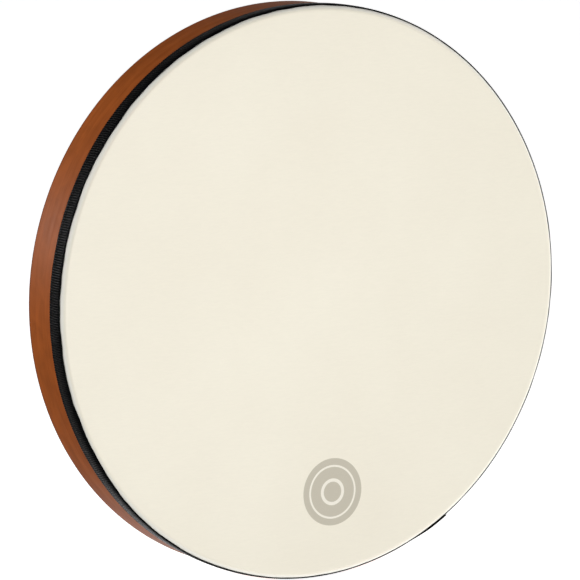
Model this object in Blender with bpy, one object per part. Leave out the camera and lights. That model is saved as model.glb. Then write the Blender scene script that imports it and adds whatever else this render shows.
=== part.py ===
"""Single-headed frame drum, 20 in across and 2 3/8 in deep, with a fixed synthetic head.

Metres, +Z up. The drum stands upright in its playing position: its axis is Y, the head faces -Y and the
open back faces +Y. The origin is the middle of the drum, halfway between the head and the rear rim.
Angles round the rim run from +X towards +Z, so the bottom of the drum is at 270 degrees.
"""

import math

import bmesh
import bpy

# Driving dimensions
SHELL_RADIUS = 0.254
OVERALL_DEPTH = 0.0603
WALL = 0.009
PLY_COUNT = 6
GAP = 0.0003

# Bearing edge (front) and rear rim
EDGE_ROUND = 0.005
CREST_WIDTH = 0.001
INNER_SLOPE = math.tan(math.radians(35))
REAR_ROUND = 0.0015

# Head
HEAD_THICKNESS = 0.0004
COLLAR_DEPTH = 0.0120

# Woven edge tape
TAPE_THICKNESS = 0.0010
TAPE_LEAN = math.radians(27)
TAPE_WIDTH = 0.0182
TAPE_STEP = 0.0015
TAPE_SEAM_ANGLE = math.radians(300)
TAPE_LAP = 0.016
TAPE_RISE_LENGTH = 0.030

# Thumb hole, through the wall at +X
HOLE_RADIUS = 0.0125
HOLE_FLARE = 0.0020
HOLE_Y = 0.0085
HOLE_CUT_REACH = 0.006
HOLE_SEGMENTS = 32

# Glued joints of the plies: the first is the outer face's, and each next ply's is turned by the same step
FIRST_JOINT_ANGLE = math.radians(315)
JOINT_TURN = math.radians(70)
JOINT_SLANT = 0.008

# Resolution
RIM_STEPS = 120
ARC_STEPS = 3

# Derived places
FRONT_Y = -OVERALL_DEPTH / 2
REAR_Y = OVERALL_DEPTH / 2
CREST_Y = FRONT_Y + HEAD_THICKNESS + GAP
ROUND_CENTRE_R = SHELL_RADIUS - EDGE_ROUND
ROUND_CENTRE_Y = CREST_Y + EDGE_ROUND
INNER_RADIUS = SHELL_RADIUS - WALL
PLY_THICKNESS = (WALL - (PLY_COUNT - 1) * GAP) / PLY_COUNT
HEAD_INNER_ROUND = EDGE_ROUND + GAP
HEAD_OUTER_ROUND = HEAD_INNER_ROUND + HEAD_THICKNESS
COLLAR_END_Y = CREST_Y + COLLAR_DEPTH
TAPE_INNER_ROUND = HEAD_OUTER_ROUND + GAP
GRID = [2 * math.pi * k / RIM_STEPS for k in range(RIM_STEPS)]


def clear_scene():
    for obj in list(bpy.data.objects):
        bpy.data.objects.remove(obj)


def material(name, colour, roughness):
    made = bpy.data.materials.new(name)
    made.use_nodes = True
    shader = made.node_tree.nodes["Principled BSDF"]
    shader.inputs["Base Color"].default_value = (*colour, 1)
    shader.inputs["Roughness"].default_value = roughness
    shader.inputs["Metallic"].default_value = 0
    made.diffuse_color = (*colour, 1)
    return made


def on_rim(radius, y, angle):
    return (radius * math.cos(angle), y, radius * math.sin(angle))


def front_edge(radius):
    """Where the shell's front edge lies at this radius: a round outside, a crest, then a slope inwards."""
    if radius > ROUND_CENTRE_R:
        run = min(radius - ROUND_CENTRE_R, EDGE_ROUND)
        return ROUND_CENTRE_Y - math.sqrt(max(EDGE_ROUND**2 - run**2, 0))
    crest_inner = ROUND_CENTRE_R - CREST_WIDTH
    return CREST_Y + max(crest_inner - radius, 0) * INNER_SLOPE


def rear_edge(radius):
    """The rear rim is flat, with a small round on each side."""
    run = max(
        radius - (SHELL_RADIUS - REAR_ROUND),
        (INNER_RADIUS + REAR_ROUND) - radius,
        0,
    )
    run = min(run, REAR_ROUND)
    return REAR_Y - REAR_ROUND + math.sqrt(max(REAR_ROUND**2 - run**2, 0))


def break_radii(low, high, corner_radii):
    """The radii where a ply's edge needs a point: its two faces, and any corner between them."""
    inside = [r for r in corner_radii if low + 1e-6 < r < high - 1e-6]
    return [low, *sorted(inside), high]


def round_radii(outer, size):
    """Radii along a quarter round that ends at the outer face."""
    return [outer - size + size * math.sin(math.pi / 2 * k / ARC_STEPS) for k in range(ARC_STEPS)]


def ply_profile(low, high):
    """Closed section of one ply, as (radius, y), cut by the bearing edge and the rear rim."""
    front = round_radii(SHELL_RADIUS, EDGE_ROUND) + [ROUND_CENTRE_R - CREST_WIDTH]
    outer_rear = round_radii(SHELL_RADIUS, REAR_ROUND)
    inner_rear = [SHELL_RADIUS + INNER_RADIUS - r for r in outer_rear]
    points = [(r, front_edge(r)) for r in break_radii(low, high, front)]
    points += [(r, rear_edge(r)) for r in reversed(break_radii(low, high, outer_rear + inner_rear))]
    return points


def loft(name, sections, closed, look):
    """A solid through rings of points. It closes on itself, or ends in two caps."""
    bm = bmesh.new()
    rings = [[bm.verts.new(point) for point in section] for section in sections]
    pairs = list(zip(rings, rings[1:]))
    if closed:
        pairs.append((rings[-1], rings[0]))
    else:
        bm.faces.new(rings[0])
        bm.faces.new(list(reversed(rings[-1])))
    for first, second in pairs:
        for k in range(len(first)):
            m = (k + 1) % len(first)
            bm.faces.new((first[k], second[k], second[m], first[m]))
    return finish(name, bm, look)


def finish(name, bm, look):
    """Turns the faces outwards, shades the round ones smooth and makes the object."""
    bmesh.ops.recalc_face_normals(bm, faces=bm.faces)
    mesh = bpy.data.meshes.new(name)
    bm.to_mesh(mesh)
    bm.free()
    mesh.shade_smooth()
    mesh.set_sharp_from_angle(angle=math.radians(30))
    mesh.materials.append(look)
    obj = bpy.data.objects.new(name, mesh)
    bpy.context.scene.collection.objects.link(obj)
    return obj


def ply(name, index, look):
    """One bent ply: a strip all round the rim, whose ends meet in a slanting glued joint."""
    high = SHELL_RADIUS - index * (PLY_THICKNESS + GAP)
    profile = ply_profile(high - PLY_THICKNESS, high)
    joint = FIRST_JOINT_ANGLE + index * JOINT_TURN
    joint_step = round(joint / (2 * math.pi) * RIM_STEPS) % RIM_STEPS
    half_gap = GAP / 2 / SHELL_RADIUS

    def end_section(side):
        section = []
        for radius, y in profile:
            slant = JOINT_SLANT * (y / REAR_Y) / SHELL_RADIUS
            section.append(on_rim(radius, y, GRID[joint_step] + side * half_gap + slant))
        return section

    sections = [end_section(1)]
    for k in range(1, RIM_STEPS):
        angle = GRID[(joint_step + k) % RIM_STEPS]
        sections.append([on_rim(radius, y, angle) for radius, y in profile])
    sections.append(end_section(-1))
    return loft(name, sections, closed=False, look=look)


def hole_cutter(look):
    """The thumb hole as a solid along X: straight in the wall, flared in a round at both faces."""
    levels = [(-HOLE_CUT_REACH, HOLE_RADIUS + HOLE_FLARE)]
    for k in range(ARC_STEPS + 1):
        turn = math.pi / 2 * k / ARC_STEPS
        levels.append((HOLE_FLARE * math.sin(turn), HOLE_RADIUS + HOLE_FLARE * (1 - math.sin(turn))))
    levels += [(WALL - depth, radius) for depth, radius in reversed(levels)]
    sections = []
    for depth, radius in levels:
        ring = []
        for k in range(HOLE_SEGMENTS):
            turn = 2 * math.pi * k / HOLE_SEGMENTS
            ring.append((SHELL_RADIUS - depth, HOLE_Y + radius * math.cos(turn), radius * math.sin(turn)))
        sections.append(ring)
    cutter = loft("thumb_hole_cutter", sections, closed=False, look=look)
    cutter.hide_render = True
    cutter.display_type = "WIRE"
    return cutter


def cut(obj, cutter):
    modifier = obj.modifiers.new("thumb_hole", "BOOLEAN")
    modifier.operation = "DIFFERENCE"
    modifier.solver = "EXACT"
    modifier.object = cutter


def arc(radius, start, end, steps):
    """Points (radius, y) on a round about the bearing edge's centre: 0 degrees faces outwards, 90 forwards."""
    points = []
    for k in range(steps + 1):
        turn = start + (end - start) * k / steps
        place_r = ROUND_CENTRE_R + radius * math.cos(turn)
        points.append((place_r, ROUND_CENTRE_Y - radius * math.sin(turn)))
    return points


def drumhead(look):
    """The head: a flat film that turns over the bearing edge and runs down the shell as a collar."""
    faces = []
    for size in (HEAD_OUTER_ROUND, HEAD_INNER_ROUND):
        faces.append([*arc(size, math.pi / 2, 0, ARC_STEPS + 1), (ROUND_CENTRE_R + size, COLLAR_END_Y)])
    profile = faces[0] + list(reversed(faces[1]))
    bm = bmesh.new()
    rings = [[bm.verts.new(on_rim(radius, y, angle)) for radius, y in profile] for angle in GRID]
    middles = [bm.verts.new((0, FRONT_Y, 0)), bm.verts.new((0, FRONT_Y + HEAD_THICKNESS, 0))]
    for first, second in zip(rings, rings[1:] + rings[:1]):
        for k in range(len(profile) - 1):
            bm.faces.new((first[k], second[k], second[k + 1], first[k + 1]))
        bm.faces.new((middles[0], first[0], second[0]))
        bm.faces.new((middles[1], first[-1], second[-1]))
    return finish("drumhead", bm, look)


def tape_profile(lift):
    """Closed section of the tape: over the head's round edge, along the collar, then down to the wood."""
    front_y = arc(TAPE_INNER_ROUND, TAPE_LEAN, 0, 1)[0][1]
    step_start = COLLAR_END_Y + GAP
    faces = []
    for out in (lift, lift + TAPE_THICKNESS):
        row = arc(TAPE_INNER_ROUND + out, TAPE_LEAN, 0, ARC_STEPS)
        row.append((ROUND_CENTRE_R + TAPE_INNER_ROUND + out, step_start + out / 2))
        row.append((SHELL_RADIUS + GAP + out, step_start + TAPE_STEP + out / 2))
        row.append((SHELL_RADIUS + GAP + out, front_y + TAPE_WIDTH))
        faces.append(row)
    return faces[0] + list(reversed(faces[1]))


def edge_tape(look):
    """The tape runs once round the rim, and its last stretch rises and laps over its own start."""
    seam_step = round(TAPE_SEAM_ANGLE / (2 * math.pi) * RIM_STEPS)
    turn = 2 * math.pi
    rise = TAPE_RISE_LENGTH / SHELL_RADIUS
    risen = turn - GAP / SHELL_RADIUS
    lap = TAPE_LAP / SHELL_RADIUS
    sections = []
    for along in sorted([*GRID, turn - rise, risen, turn + lap / 2, turn + lap]):
        climb = min(max((along - turn + rise) / (risen - turn + rise), 0), 1)
        lift = (TAPE_THICKNESS + GAP) * climb
        sections.append([on_rim(radius, y, GRID[seam_step] + along) for radius, y in tape_profile(lift)])
    return loft("edge_tape", sections, closed=False, look=look)


def main():
    clear_scene()
    stained_wood = material("stained_wood", (0.29, 0.10, 0.035), 0.45)
    film = material("head_film", (0.84, 0.79, 0.67), 0.5)
    woven_black = material("woven_black", (0.012, 0.012, 0.013), 0.8)
    cutter = hole_cutter(stained_wood)
    for index in range(PLY_COUNT):
        place = {0: "outer_face", PLY_COUNT - 1: "inner_face"}.get(index, f"core_{index}")
        cut(ply(f"shell_ply_{place}", index, stained_wood), cutter)
    drumhead(film)
    edge_tape(woven_black)


main()
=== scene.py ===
"""Frame drum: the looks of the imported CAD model, and the camera and light of the reference view.

Metres, +Z up, in the CAD model's frame. The drum's axis is Y, the head faces -Y and the open back +Y.
Angles round the rim run from +X towards +Z. The plies and the tape carry an attribute named "around", which
their materials read: (distance along the rim, y, radius) on the wood, and (distance along the rim, distance
across the tape, height in the rib from 0 to 1) on the tape.
"""

import math

import bmesh
import bpy
import numpy as np
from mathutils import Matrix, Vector
from mathutils.geometry import delaunay_2d_cdt
from mathutils.noise import noise


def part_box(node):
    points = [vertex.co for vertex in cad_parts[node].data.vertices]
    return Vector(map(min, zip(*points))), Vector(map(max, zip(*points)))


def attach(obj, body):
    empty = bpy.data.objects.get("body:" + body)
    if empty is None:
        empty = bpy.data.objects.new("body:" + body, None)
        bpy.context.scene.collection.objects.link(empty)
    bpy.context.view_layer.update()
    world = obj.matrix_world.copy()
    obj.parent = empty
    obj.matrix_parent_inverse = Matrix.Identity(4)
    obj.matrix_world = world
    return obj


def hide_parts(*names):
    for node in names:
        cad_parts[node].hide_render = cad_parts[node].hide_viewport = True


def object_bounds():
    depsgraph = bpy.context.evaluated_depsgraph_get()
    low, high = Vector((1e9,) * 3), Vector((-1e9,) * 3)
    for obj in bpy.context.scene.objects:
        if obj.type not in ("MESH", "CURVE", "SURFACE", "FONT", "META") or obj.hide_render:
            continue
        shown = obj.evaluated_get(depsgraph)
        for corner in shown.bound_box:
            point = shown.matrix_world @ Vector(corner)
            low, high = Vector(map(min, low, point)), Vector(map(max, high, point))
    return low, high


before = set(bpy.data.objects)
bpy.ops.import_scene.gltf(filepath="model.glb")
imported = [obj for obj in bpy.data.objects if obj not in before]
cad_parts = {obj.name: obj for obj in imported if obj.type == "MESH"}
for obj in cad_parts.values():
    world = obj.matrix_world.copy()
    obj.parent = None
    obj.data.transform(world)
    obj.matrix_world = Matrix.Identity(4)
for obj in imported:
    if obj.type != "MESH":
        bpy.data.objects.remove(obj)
cad_low, cad_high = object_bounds()

# Places read from the CAD model
FRONT_Y = cad_low.y
REAR_Y = cad_high.y
SHELL_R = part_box("shell_ply_outer_face")[1].z
HEAD_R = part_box("drumhead")[1].z
COLLAR_END_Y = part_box("drumhead")[1].y
TAPE_R = -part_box("edge_tape")[0].x
TAPE_REAR_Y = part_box("edge_tape")[1].y
PLIES = [
    "shell_ply_outer_face",
    "shell_ply_core_1",
    "shell_ply_core_2",
    "shell_ply_core_3",
    "shell_ply_core_4",
    "shell_ply_inner_face",
]
PLY_RADII = [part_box(name)[1].z for name in PLIES]

# Sizes that the CAD model has too
WALL = 0.009
EDGE_ROUND = 0.005
CREST_WIDTH = 0.001
INNER_SLOPE = math.tan(math.radians(35))
REAR_ROUND = 0.0015
HEAD_THICKNESS = 0.0004
GAP = 0.0003
HOLE_RADIUS = 0.0125
HOLE_FLARE = 0.0020
HOLE_Y = 0.0085
TAPE_SEAM_ANGLE = math.radians(300)
TAPE_LAP = 0.016
TAPE_RISE_LENGTH = 0.030
TAPE_LEAN = math.radians(27)
TAPE_THICKNESS = 0.0010
TAPE_STEP = 0.0015
FIRST_JOINT_ANGLE = math.radians(315)
JOINT_TURN = math.radians(70)
JOINT_SLANT = 0.008

# Gaps of the visual pieces, which lie closer together than the CAD model's
GLUE_LINE = 0.00006
TAPE_CLEARANCE = 0.0001
COLLAR_CLEARANCE = 0.0002

# Derived places
INNER_R = SHELL_R - WALL
CREST_Y = FRONT_Y + HEAD_THICKNESS + GAP
ROUND_R = SHELL_R - EDGE_ROUND
ROUND_Y = CREST_Y + EDGE_ROUND
HEAD_OUTER_ROUND = HEAD_R - ROUND_R
TAPE_INNER_ROUND = HEAD_OUTER_ROUND + TAPE_CLEARANCE

# Detail
RIM_STEPS = 480
ROUND_STEPS = 8
JOINT_REACH = 24  # the higher, the closer to the joint its slant stays
SAME_RADIUS = 0.00001
HOLE_SIDES = 96
HOLE_SURROUND = 0.04  # how far above and below the axis the wall is put right beside the hole
MARK_SIDES = 120
MARK_CENTRE = (0.0187, -0.1794)
MARK_RADIUS = 0.0303

# The tape's ribs, and how it is laid
RIB_COUNT = 720
RIB_STEPS = 6
RIB_HEIGHT = 0.00036
RIB_FULLNESS = 0.45
TAPE_LEAD = 0.0026
TAPE_SETBACK = 0.0006
PATH_POINTS = 600
EDGE_FALL = 0.0005

# Reference view: a lens in millimetres on a 36 mm sensor, and places in shell radii
VIEW_AZIMUTH = math.radians(-31.43)
VIEW_ELEVATION = math.radians(8.37)
VIEW_DISTANCE = 17.12
VIEW_LEFT = 0.0239
VIEW_DOWN = 0.0021
VIEW_LENS = 304.51034
SENSOR_WIDTH = 36


def on_rim(radius, y, angle):
    return (radius * math.cos(angle), y, radius * math.sin(angle))


# Mesh helpers


def new_piece(name, verts, faces, looks, face_looks=None, around=None, smooth_angle=35):
    """A piece from points and faces. around holds one (s, t, r) for each point."""
    mesh = bpy.data.meshes.new(name)
    mesh.from_pydata(verts, [], faces)
    for look in looks:
        mesh.materials.append(look)
    if face_looks is not None:
        mesh.polygons.foreach_set("material_index", face_looks)
    if around is not None:
        made = mesh.attributes.new("around", "FLOAT_VECTOR", "POINT")
        made.data.foreach_set("vector", np.asarray(around, dtype=np.float32).ravel())
    bm = bmesh.new()
    bm.from_mesh(mesh)
    bmesh.ops.recalc_face_normals(bm, faces=bm.faces)
    bm.to_mesh(mesh)
    bm.free()
    mesh.shade_smooth()
    mesh.set_sharp_from_angle(angle=math.radians(smooth_angle))
    mesh.update()
    obj = bpy.data.objects.new(name, mesh)
    bpy.context.scene.collection.objects.link(obj)
    return obj


def strip(name, sections, arounds, looks, smooth_angle=35):
    """A closed strip through equal sections of points, with a cap at each end."""
    size = len(sections[0])
    verts = [point for section in sections for point in section]
    around = [value for section in arounds for value in section]
    faces = [list(range(size)), list(range(len(verts) - 1, len(verts) - 1 - size, -1))]
    for row in range(len(sections) - 1):
        base = row * size
        for k in range(size):
            m = (k + 1) % size
            faces.append((base + k, base + size + k, base + size + m, base + m))
    return new_piece(name, verts, faces, looks, around=around, smooth_angle=smooth_angle)


def circle(centre, radius, count):
    turns = [2 * math.pi * k / count for k in range(count)]
    return [(centre[0] + radius * math.cos(turn), centre[1] + radius * math.sin(turn)) for turn in turns]


def quarter(steps):
    return [math.pi / 2 * k / steps for k in range(steps + 1)]


def arc(radius, start, end, steps):
    """Points (radius, y) on a round about the bearing edge's centre. Angle 0 faces outwards."""
    points = []
    for k in range(steps + 1):
        turn = start + (end - start) * k / steps
        points.append((ROUND_R + radius * math.cos(turn), ROUND_Y - radius * math.sin(turn)))
    return points


# Materials


class Look:
    """A node material that is built up from the outside in."""

    def __init__(self, name, colour, roughness):
        self.material = bpy.data.materials.new(name)
        self.material.use_nodes = True
        self.tree = self.material.node_tree
        self.shader = self.tree.nodes["Principled BSDF"]
        self.shader.inputs["Base Color"].default_value = (*colour, 1)
        self.shader.inputs["Roughness"].default_value = roughness
        self.material.diffuse_color = (*colour, 1)

    def node(self, kind, **values):
        made = self.tree.nodes.new(kind)
        for key, value in values.items():
            if key in made.inputs:
                made.inputs[key].default_value = value
            else:
                setattr(made, key, value)
        return made

    def link(self, out, into):
        self.tree.links.new(out, into)

    def math(self, operation, first, second=0.0):
        made = self.node("ShaderNodeMath", operation=operation)
        for k, value in enumerate((first, second)):
            if isinstance(value, (int, float)):
                made.inputs[k].default_value = value
            else:
                self.link(value, made.inputs[k])
        return made.outputs[0]

    def around(self):
        return self.node("ShaderNodeAttribute", attribute_name="around").outputs["Vector"]

    def place(self):
        return self.node("ShaderNodeTexCoord").outputs["Object"]

    def scaled(self, vector, scale, shift=(0, 0, 0)):
        made = self.node("ShaderNodeMapping")
        made.inputs["Scale"].default_value = scale
        made.inputs["Location"].default_value = shift
        self.link(vector, made.inputs["Vector"])
        return made.outputs[0]

    def part(self, vector, axis):
        made = self.node("ShaderNodeSeparateXYZ")
        self.link(vector, made.inputs[0])
        return made.outputs[axis]

    def fade(self, value, start, end):
        """0 up to start, and from there evenly up to 1 at end."""
        made = self.node("ShaderNodeMapRange")
        made.inputs["From Min"].default_value = start
        made.inputs["From Max"].default_value = end
        self.link(value, made.inputs["Value"])
        return made.outputs[0]

    def noise(self, vector, detail=3.0, roughness=0.5, distortion=0.0):
        made = self.node("ShaderNodeTexNoise")
        made.inputs["Scale"].default_value = 1.0
        made.inputs["Detail"].default_value = detail
        made.inputs["Roughness"].default_value = roughness
        made.inputs["Distortion"].default_value = distortion
        self.link(vector, made.inputs["Vector"])
        return made.outputs["Fac"]

    def ramp(self, value, *stops):
        """stops are (position, colour) pairs, where colour is a number or three numbers."""
        made = self.node("ShaderNodeValToRGB")
        elements = made.color_ramp.elements
        while len(elements) < len(stops):
            elements.new(0.5)
        for element, (position, colour) in zip(elements, stops):
            element.position = position
            rgb = colour if isinstance(colour, tuple) else (colour,) * 3
            element.color = (*rgb, 1)
        self.link(value, made.inputs["Fac"])
        return made.outputs["Color"]

    def mix(self, fac, first, second, blend="MIX"):
        made = self.node("ShaderNodeMix", data_type="RGBA", blend_type=blend)
        for socket, value in ((made.inputs[0], fac), (made.inputs[6], first), (made.inputs[7], second)):
            if isinstance(value, (int, float)):
                socket.default_value = value
            elif isinstance(value, tuple):
                socket.default_value = (*value, 1)
            else:
                self.link(value, socket)
        return made.outputs[2]

    def colour(self, out):
        self.link(out, self.shader.inputs["Base Color"])

    def roughness(self, out):
        self.link(out, self.shader.inputs["Roughness"])

    def bump(self, *layers):
        """layers are (height output, strength, distance in metres), chained from fine to coarse."""
        last = None
        for height, strength, distance in layers:
            made = self.node("ShaderNodeBump")
            made.inputs["Strength"].default_value = strength
            made.inputs["Distance"].default_value = distance
            self.link(height, made.inputs["Height"])
            if last is not None:
                self.link(last, made.inputs["Normal"])
            last = made.outputs["Normal"]
        self.link(last, self.shader.inputs["Normal"])


def wood_look(name, light, dark, pore, shift, cross=False):
    """Stained and lacquered veneer: grain runs along the strip, or across it on a cross ply."""
    look = Look(name, light, 0.48)
    along, over = (1.0, 1.0) if not cross else (9.0, 0.12)
    base = look.around()
    grain = look.scaled(base, (9 * along, 420 * over, 420), shift)
    streak = look.noise(grain, detail=5, roughness=0.6, distortion=0.4)
    cloud = look.noise(look.scaled(base, (48, 80, 80), shift), distortion=0.6)
    fleck = look.noise(look.scaled(base, (60 * along, 2600 * over, 2600), shift), detail=2, roughness=0.7)
    tone = look.ramp(streak, (0.30, dark), (0.66, light))
    shade = look.ramp(cloud, (0.32, 0.88), (0.68, 1.10))
    tone = look.mix(1.0, tone, shade, "MULTIPLY")
    pores = look.ramp(fleck, (0.30, 1.0), (0.40, 0.0))
    tone = look.mix(look.math("MULTIPLY", pores, 0.25), tone, pore)
    # painted shade: the veneer darkens towards the pore colour near the rear edge, as if the rounded rear rim
    # lay in shadow
    rear = look.fade(look.part(base, "Y"), REAR_Y - 0.0036, REAR_Y - 0.0012)
    look.colour(look.mix(look.math("MULTIPLY", rear, 0.85), tone, pore))
    look.roughness(look.ramp(streak, (0.3, 0.54), (0.7, 0.44)))
    look.bump((fleck, 0.20, 0.00004), (streak, 0.10, 0.00008))
    look.shader.inputs["Specular IOR Level"].default_value = 0.06
    return look.material


def film_look(name, colour, warm):
    """Matte synthetic film: a fine fibrous mottle, a faint tooth, and a painted highlight that makes it paler
    where it bends over the rim.
    """
    look = Look(name, colour, 0.5)
    place = look.place()
    cloud = look.noise(look.scaled(place, (5, 5, 5)), detail=3, roughness=0.6)
    fibre = look.noise(look.scaled(place, (120, 120, 700)), detail=4, roughness=0.7, distortion=0.8)
    grain = look.noise(look.scaled(place, (2600, 2600, 2600)), detail=2)
    tone = look.ramp(cloud, (0.32, warm), (0.68, colour))
    veil = look.ramp(fibre, (0.35, 0.985), (0.65, 1.01))
    tone = look.mix(1.0, tone, veil, "MULTIPLY")
    flat = look.node("ShaderNodeVectorMath", operation="MULTIPLY")
    flat.inputs[1].default_value = (1, 0, 1)
    look.link(place, flat.inputs[0])
    reach = look.node("ShaderNodeVectorMath", operation="LENGTH")
    look.link(flat.outputs[0], reach.inputs[0])
    # painted highlight: the film is lightened towards a pale cream in a ring where it bends over the rim
    painted_bend_highlight = look.fade(reach.outputs["Value"], ROUND_R + 0.0020, ROUND_R + 0.0040)
    look.colour(look.mix(painted_bend_highlight, tone, (0.92, 0.90, 0.82)))
    look.roughness(look.ramp(fibre, (0.3, 0.46), (0.7, 0.56)))
    look.bump((grain, 0.10, 0.00004), (fibre, 0.05, 0.00006))
    return look.material


def tape_look(name, thread, painted_groove_shade):
    """Black ribbed tape: ribs worn a little glossy, with painted shade in the grooves between them, and fine
    threads across.
    """
    look = Look(name, thread, 0.45)
    base = look.around()
    crown = look.ramp(look.part(base, "Z"), (0.45, 0.0), (0.90, 1.0))
    thread_lines = look.node("ShaderNodeTexWave", wave_type="BANDS", bands_direction="Y", wave_profile="SIN")
    thread_lines.inputs["Scale"].default_value = 1.0
    thread_lines.inputs["Distortion"].default_value = 0.6
    thread_lines.inputs["Detail"].default_value = 1.0
    look.link(look.scaled(base, (90, 700, 0)), thread_lines.inputs["Vector"])
    wear = look.noise(look.scaled(base, (260, 420, 0)), detail=3, roughness=0.6)
    # painted shade: low on the ribs the colour goes to a near-black groove colour, the rib tops keep the
    # tape's own colour
    tone = look.mix(crown, painted_groove_shade, thread)
    look.colour(look.mix(1.0, tone, look.ramp(wear, (0.3, 0.6), (0.7, 1.3)), "MULTIPLY"))
    look.roughness(look.ramp(crown, (0.0, 0.60), (1.0, 0.22)))
    look.bump((thread_lines.outputs["Fac"], 0.30, 0.00008), (wear, 0.15, 0.0001))
    look.shader.inputs["Specular IOR Level"].default_value = 0.035
    return look.material


# Shell


def front_edge(radius):
    """Where the shell's front edge lies at this radius: a round outside, a crest, then a slope inwards."""
    if radius > ROUND_R:
        run = min(radius - ROUND_R, EDGE_ROUND)
        return ROUND_Y - math.sqrt(max(EDGE_ROUND**2 - run**2, 0))
    return CREST_Y + max(ROUND_R - CREST_WIDTH - radius, 0) * INNER_SLOPE


def rear_edge(radius):
    """The rear rim is flat, with a small round on each side."""
    run = max(radius - (SHELL_R - REAR_ROUND), (INNER_R + REAR_ROUND) - radius, 0)
    run = min(run, REAR_ROUND)
    return REAR_Y - REAR_ROUND + math.sqrt(max(REAR_ROUND**2 - run**2, 0))


def between(low, high, radii):
    """The two ends, and those of radii that lie clearly between them, from the smallest up."""
    return sorted({low, high, *[r for r in radii if low + SAME_RADIUS < r < high - SAME_RADIUS]})


def up_wall(radius, first, last, steps):
    """Points on a ply's round face, between its edges at first and last."""
    return [(radius, first + (last - first) * k / steps) for k in range(1, steps)]


def ply_profile(low, high):
    """Closed section of one ply, with points close together on its rounds and rows across its faces."""
    front = [ROUND_R + EDGE_ROUND * math.sin(turn) for turn in quarter(ROUND_STEPS)]
    front += [ROUND_R - CREST_WIDTH]
    outside = [SHELL_R - REAR_ROUND + REAR_ROUND * math.sin(turn) for turn in quarter(ROUND_STEPS)]
    rear = outside + [SHELL_R + INNER_R - r for r in outside]
    points = [(r, front_edge(r)) for r in between(low, high, front)]
    points += up_wall(high, front_edge(high), rear_edge(high), 8)
    points += [(r, rear_edge(r)) for r in reversed(between(low, high, rear))]
    points += up_wall(low, rear_edge(low), front_edge(low), 4)
    return points


def ply(index, look):
    """One bent ply: a strip all round the rim, whose ends meet in a slanting glued joint."""
    high = PLY_RADII[index]
    low = PLY_RADII[index + 1] + GLUE_LINE if index + 1 < len(PLY_RADII) else INNER_R
    profile = ply_profile(low, high)
    joint = FIRST_JOINT_ANGLE + index * JOINT_TURN
    sections, arounds = [], []
    for k in range(RIM_STEPS + 1):
        part = k / RIM_STEPS
        end = abs(2 * part - 1) ** JOINT_REACH * (1 if part < 0.5 else -1)
        section, values = [], []
        for radius, y in profile:
            slant = JOINT_SLANT * (y / REAR_Y) / SHELL_R * abs(end)
            turn = 2 * math.pi * part + GLUE_LINE / 2 / SHELL_R * end + slant
            section.append(on_rim(radius, y, joint + turn))
            values.append((turn * SHELL_R, y, radius))
        sections.append(section)
        arounds.append(values)
    piece = strip(f"{PLIES[index]}_wood", sections, arounds, [look])
    drill(piece, joint)
    return piece


def hole_cutter():
    """The thumb hole along X, straight in the wall and flared in a round at both faces."""
    rounds = [(math.sin(turn), 1 - math.sin(turn)) for turn in quarter(ROUND_STEPS)]
    levels = [(-2 * HOLE_FLARE, HOLE_RADIUS + HOLE_FLARE)]
    levels += [(HOLE_FLARE * depth, HOLE_RADIUS + HOLE_FLARE * flare) for depth, flare in rounds]
    levels += [(WALL - depth, radius) for depth, radius in reversed(levels)]
    sections = []
    for depth, radius in levels:
        ring = circle((HOLE_Y, 0), radius, HOLE_SIDES)
        sections.append([(SHELL_R - depth, y, z) for y, z in ring])
    return strip("thumb_hole_tool", sections, [[(0, 0, 0)] * HOLE_SIDES] * len(sections), [])


def drill(piece, joint):
    """Cuts the thumb hole, then puts right what the material reads and how the wall is shaded beside it."""
    cutter = hole_cutter()
    modifier = piece.modifiers.new("hole", "BOOLEAN")
    modifier.operation = "DIFFERENCE"
    modifier.solver = "EXACT"
    modifier.object = cutter
    graph = bpy.context.evaluated_depsgraph_get()
    cut_mesh = bpy.data.meshes.new_from_object(piece.evaluated_get(graph))
    piece.modifiers.clear()
    old = piece.data
    piece.data = cut_mesh
    bpy.data.meshes.remove(old)
    old = cutter.data
    bpy.data.objects.remove(cutter)
    bpy.data.meshes.remove(old)
    fix_around(piece.data, joint)
    shade_round(piece.data)


def shade_round(mesh):
    """The wall beside the hole keeps a cylinder's normals, so the cut's long faces don't show on it."""
    normals = []
    for polygon in mesh.polygons:
        for corner in polygon.loop_indices:
            x, _, z = mesh.vertices[mesh.loops[corner].vertex_index].co
            out = Vector((x, 0, z)).normalized()
            facing = polygon.normal.dot(out)
            beside = x > 0 and abs(z) < HOLE_SURROUND and abs(facing) > 0.9995
            normals.append(out * math.copysign(1, facing) if beside else Vector((0, 0, 0)))
    mesh.normals_split_custom_set(normals)


def fix_around(mesh, joint):
    """Points at and beside the hole take their place round the rim from their position."""
    around = mesh.attributes["around"].data
    for vertex in mesh.vertices:
        x, y, z = vertex.co
        if x > 0 and abs(z) < HOLE_SURROUND:
            turn = (math.atan2(z, x) - joint) % (2 * math.pi)
            around[vertex.index].vector = (turn * SHELL_R, y, math.hypot(x, z))


# Head


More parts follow.
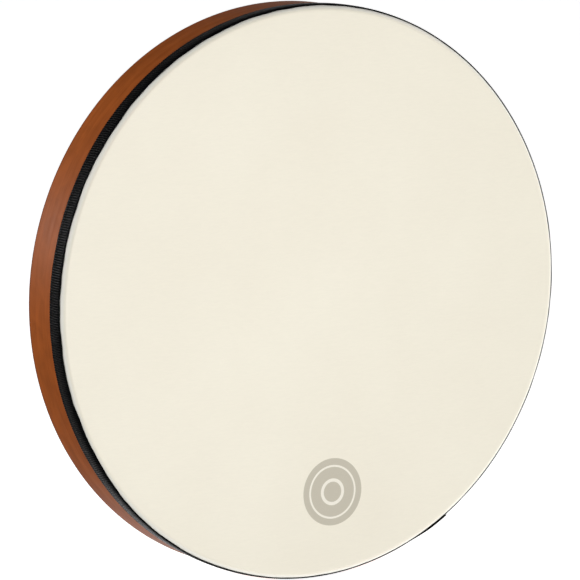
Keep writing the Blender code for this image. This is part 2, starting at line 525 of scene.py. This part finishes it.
def head_piece(film, ink, pale):
    """The film with its round edge and collar. The printed disc and its rings are faces of their own."""
    outer = [*arc(HEAD_OUTER_ROUND, math.pi / 2, 0, 12), (HEAD_R, ROUND_Y + 0.004), (HEAD_R, COLLAR_END_Y)]
    inner_round = HEAD_OUTER_ROUND - HEAD_THICKNESS
    inner = [*arc(inner_round, math.pi / 2, 0, 12), (HEAD_R - HEAD_THICKNESS, COLLAR_END_Y)]
    profile = outer + inner[::-1]
    size = len(profile)
    verts, faces, looks = [], [], []
    for k in range(RIM_STEPS):
        angle = 2 * math.pi * k / RIM_STEPS
        verts += [on_rim(radius, y, angle) for radius, y in profile]
    for k in range(RIM_STEPS):
        base, after = k * size, (k + 1) % RIM_STEPS * size
        for m in range(size - 1):
            faces.append((base + m, after + m, after + m + 1, base + m + 1))
            looks.append(0)
    rings = [
        (MARK_RADIUS, 1),
        (MARK_RADIUS * 0.80, 2),
        (MARK_RADIUS * 0.74, 1),
        (MARK_RADIUS * 0.40, 2),
        (MARK_RADIUS * 0.30, 1),
    ]
    points = [(verts[k * size][0], verts[k * size][2]) for k in range(RIM_STEPS)]
    edges = [(k, (k + 1) % RIM_STEPS) for k in range(RIM_STEPS)]
    for radius, _ in rings:
        start = len(points)
        points += circle(MARK_CENTRE, radius, MARK_SIDES)
        edges += [(start + k, start + (k + 1) % MARK_SIDES) for k in range(MARK_SIDES)]
    flat, _, cells, origins, _, _ = delaunay_2d_cdt([Vector(p) for p in points], edges, [], 1, 1e-7)
    index = []
    for place, source in zip(flat, origins):
        if source and source[0] < RIM_STEPS:
            index.append(source[0] * size)
        else:
            index.append(len(verts))
            verts.append((place.x, FRONT_Y, place.y))
    for cell in cells:
        middle = sum((flat[k] for k in cell), Vector((0, 0))) / len(cell)
        reach = math.hypot(middle.x - MARK_CENTRE[0], middle.y - MARK_CENTRE[1])
        look = 0
        for radius, value in rings:
            if reach < radius:
                look = value
        faces.append([index[k] for k in cell])
        looks.append(look)
    faces.append([k * size + size - 1 for k in range(RIM_STEPS)])
    looks.append(0)
    return new_piece("drumhead_film", verts, faces, [film, ink, pale], face_looks=looks)


# Tape


def tape_path():
    """What the tape lies on, as rows of (distance along it, radius, y, outward normal's radius and y)."""
    path = arc(TAPE_INNER_ROUND, TAPE_LEAN + TAPE_LEAD / TAPE_INNER_ROUND, 0, 24)
    step_y = COLLAR_END_Y + COLLAR_CLEARANCE
    path += [(ROUND_R + TAPE_INNER_ROUND, step_y)]
    for k in range(1, 13):
        part = k / 12
        drop = (TAPE_INNER_ROUND - EDGE_ROUND - TAPE_CLEARANCE) * part * part * (3 - 2 * part)
        path.append((ROUND_R + TAPE_INNER_ROUND - drop, step_y + TAPE_STEP * part))
    path.append((path[-1][0], TAPE_REAR_Y + 0.002))
    path = np.array(path)
    runs = np.r_[0, np.cumsum(np.hypot(*np.diff(path, axis=0).T))]
    steps = np.linspace(0, runs[-1], PATH_POINTS)
    radius = np.interp(steps, runs, path[:, 0])
    y = np.interp(steps, runs, path[:, 1])
    out_r, out_y = np.gradient(y, steps), -np.gradient(radius, steps)
    length = np.hypot(out_r, out_y)
    return np.c_[steps, radius, y, out_r / length, out_y / length]


def swell(angle, middle, width):
    """A smooth hump round the rim, from 0 to 1, with all three given in degrees."""
    apart = (angle - middle + 180) % 360 - 180
    return math.exp(-((apart / width) ** 2))


def tape_edges(angle):
    """How far the front and rear edges of the tape, laid by hand, wander towards the rear, in metres."""
    spot = Vector((math.cos(angle), math.sin(angle), 0))
    turn = math.degrees(angle)
    front = -0.0018 * swell(turn, 208, 15) + 0.0006 * swell(turn, 153, 12) - 0.0006 * swell(turn, 102, 12)
    front += 0.0004 * noise(spot * 6) + 0.0009 * noise(spot * 15 + Vector((4, 1, 7)))
    rear = 0.0010 * swell(turn, 228, 18) + 0.0004 * noise(spot * 6 + Vector((5, 3, 1)))
    rear += 0.0003 * noise(spot * 22 + Vector((2, 9, 4)))
    return max(front, -TAPE_LEAD), rear


def tape_piece(look):
    """Ribbed tape once round the rim. Its edges wander a little, and its end laps over its start."""
    table = tape_path()
    step_at = float(np.interp(COLLAR_END_Y + COLLAR_CLEARANCE, table[:, 2], table[:, 0]))
    tape_end = float(np.interp(TAPE_REAR_Y - TAPE_SETBACK, table[:, 2], table[:, 0]))
    thick = TAPE_THICKNESS - RIB_HEIGHT
    turn_steps = RIB_COUNT * RIB_STEPS
    lap_steps = round(TAPE_LAP / (2 * math.pi * TAPE_R) * turn_steps)
    rise_steps = round(TAPE_RISE_LENGTH / (2 * math.pi * TAPE_R) * turn_steps)
    sections, arounds = [], []
    for k in range(turn_steps + lap_steps + 1):
        angle = TAPE_SEAM_ANGLE + 2 * math.pi * k / turn_steps
        along = 2 * math.pi * k / turn_steps * TAPE_R
        climb = min(max((k - turn_steps + rise_steps) / rise_steps, 0), 1)
        lift = (TAPE_THICKNESS + TAPE_CLEARANCE) * climb * climb * (3 - 2 * climb)
        front, rear = tape_edges(angle)
        first, last = TAPE_LEAD + front, tape_end + rear
        rib = abs(math.sin(math.pi * k / RIB_STEPS)) ** RIB_FULLNESS
        runs = [first + d for d in (0, 0.00015, 0.0005, 0.0012, 0.0025, 0.0045)]
        runs += [step_at + d for d in (0, 0.0005, 0.0010, 0.0015)]
        runs += [last - d for d in (0.0012, 0.0005, 0.00015, 0)]
        spots = [np.interp(runs, table[:, 0], table[:, column]) for column in range(1, 5)]
        outer, values = [], []
        for run, radius, y, out_r, out_y in zip(runs, *spots):
            edge = min(run - first, last - run)
            round_off = 1 - math.sqrt(max(1 - max(1 - edge / EDGE_FALL, 0) ** 2, 0))
            ribbing = RIB_HEIGHT * rib * min(0.3 + edge / 0.0006, 1)
            height = thick * (1 - 0.75 * round_off) + ribbing + lift
            outer.append(on_rim(radius + out_r * height, y + out_y * height, angle))
            values.append((along, run - first, rib))
        under, under_values = [], []
        for m in (0, 3, 4, 6, 9, 13):
            radius, y, out_r, out_y = (column[m] for column in spots)
            under.append(on_rim(radius + out_r * lift, y + out_y * lift, angle))
            under_values.append((along, runs[m] - first, 0))
        sections.append(under + outer[::-1])
        arounds.append(under_values + values[::-1])
    return strip("edge_tape_woven", sections, arounds, [look], smooth_angle=60)


# Studio


def area_light(name, location, target, size, power):
    data = bpy.data.lights.new(name, "AREA")
    data.shape = "RECTANGLE"
    data.size, data.size_y = size
    data.energy = power
    obj = bpy.data.objects.new(name, data)
    obj.location = location
    obj.rotation_mode = "QUATERNION"
    obj.rotation_quaternion = (Vector(target) - Vector(location)).to_track_quat("-Z", "Y")
    bpy.context.scene.collection.objects.link(obj)


def surround():
    """A dim room that brightens towards the lower right of the drum's front."""
    world = bpy.data.worlds.new("surround")
    world.use_nodes = True
    nodes, links = world.node_tree.nodes, world.node_tree.links
    place = nodes.new("ShaderNodeTexCoord")
    along = nodes.new("ShaderNodeVectorMath")
    along.operation = "DOT_PRODUCT"
    along.inputs[1].default_value = (0.8, 0.0, -0.6)
    ramp = nodes.new("ShaderNodeValToRGB")
    stops = ((0.0, 0.05), (0.17, 0.42), (0.31, 0.24), (0.45, 1.60))
    elements = ramp.color_ramp.elements
    while len(elements) < len(stops):
        elements.new(0.5)
    for element, (position, level) in zip(elements, stops):
        element.position = position
        element.color = (level, level, level, 1)
    links.new(place.outputs["Generated"], along.inputs[0])
    links.new(along.outputs["Value"], ramp.inputs["Fac"])
    links.new(ramp.outputs["Color"], nodes["Background"].inputs["Color"])
    nodes["Background"].inputs["Strength"].default_value = 1.0
    bpy.context.scene.world = world


def sweep(name, floor_z, look):
    """A round paper floor, far wider than the object, that curves up into a wall all round."""
    levels = [(8.0, 0.0)]
    levels += [(8.0 + math.sin(t), 1 - math.cos(t)) for t in quarter(8)[1:]]
    levels += [(9.0, 6.0)]
    count = 96
    verts = [(*at, floor_z + height) for radius, height in levels for at in circle((0, 0), radius, count)]
    faces = [tuple(range(count))]
    for level in range(len(levels) - 1):
        for k in range(count):
            m = (k + 1) % count
            base = level * count
            faces.append((base + k, base + m, base + count + m, base + count + k))
    return new_piece(name, verts, faces, [look])


def studio():
    """A pale floor, the surround and soft lights. The floor neither lights the object nor shows in it."""
    bpy.context.scene.view_settings.view_transform = "Standard"
    surround()
    floor_z = cad_low.z - 0.001
    look = Look("pale_paper", (0.90, 0.90, 0.90), 0.9)
    look.shader.inputs["Emission Color"].default_value = (1, 1, 1, 1)
    look.shader.inputs["Emission Strength"].default_value = 0.88
    floor = sweep("floor", floor_z, look.material)
    floor.visible_glossy = False
    floor.visible_diffuse = False
    area_light("key", (-0.1, -1.6, -0.05), (0, 0, 0), (1.0, 1.0), 23.5)
    area_light("left", (-3.0, 0.8, 1.0), (0, 0, 0), (1.2, 1.2), 50)
    area_light("rim", (-1.3, 1.7, 0.36), (-0.25, 0, 0.05), (0.42, 0.36), 12.5)


def camera():
    """A long lens from the drum's front left, a little above its middle, level with the horizon."""
    data = bpy.data.cameras.new("camera")
    data.sensor_width = SENSOR_WIDTH
    data.lens = VIEW_LENS
    data.clip_start, data.clip_end = 0.1, 100
    data.dof.use_dof = False
    obj = bpy.data.objects.new("camera", data)
    level = math.cos(VIEW_ELEVATION)
    back = Vector((math.sin(VIEW_AZIMUTH) * level, -math.cos(VIEW_AZIMUTH) * level, math.sin(VIEW_ELEVATION)))
    right = Vector((math.cos(VIEW_AZIMUTH), math.sin(VIEW_AZIMUTH), 0))
    up = back.cross(right)
    obj.location = (back * VIEW_DISTANCE - right * VIEW_LEFT - up * VIEW_DOWN) * SHELL_R
    obj.rotation_mode = "QUATERNION"
    obj.rotation_quaternion = (-back).to_track_quat("-Z", "Y")
    bpy.context.scene.collection.objects.link(obj)
    bpy.context.scene.camera = obj


# Pieces

face_tones = ((0.40, 0.100, 0.018), (0.34, 0.082, 0.015), (0.14, 0.034, 0.010))
core_tones = ((0.33, 0.125, 0.045), (0.22, 0.078, 0.030), (0.09, 0.03, 0.014))
cross_tones = ((0.26, 0.090, 0.032), (0.17, 0.055, 0.022), (0.07, 0.02, 0.01))
stained = [
    wood_look("stained_face_veneer", *face_tones, (0, 0, 0)),
    wood_look("stained_core", *core_tones, (3, 1, 0)),
    wood_look("stained_cross_core", *cross_tones, (7, 2, 0), cross=True),
]
for number, node in enumerate(PLIES):
    face = number in (0, len(PLIES) - 1)
    piece = ply(number, stained[0] if face else stained[1 + number % 2])
    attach(piece, "root")
    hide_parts(node)

head = head_piece(
    film_look("cream_film", (0.835, 0.79, 0.665), (0.805, 0.755, 0.63)),
    film_look("grey_print", (0.52, 0.48, 0.385), (0.50, 0.46, 0.37)),
    film_look("pale_print", (0.83, 0.79, 0.69), (0.80, 0.76, 0.66)),
)
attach(head, "root")
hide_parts("drumhead")

# the second colour is painted shade for the grooves between the ribs
tape = tape_piece(tape_look("black_ribbed_tape", (0.0024, 0.0024, 0.0028), (0.0004, 0.0004, 0.0005)))
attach(tape, "root")
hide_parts("edge_tape")

studio()
camera()
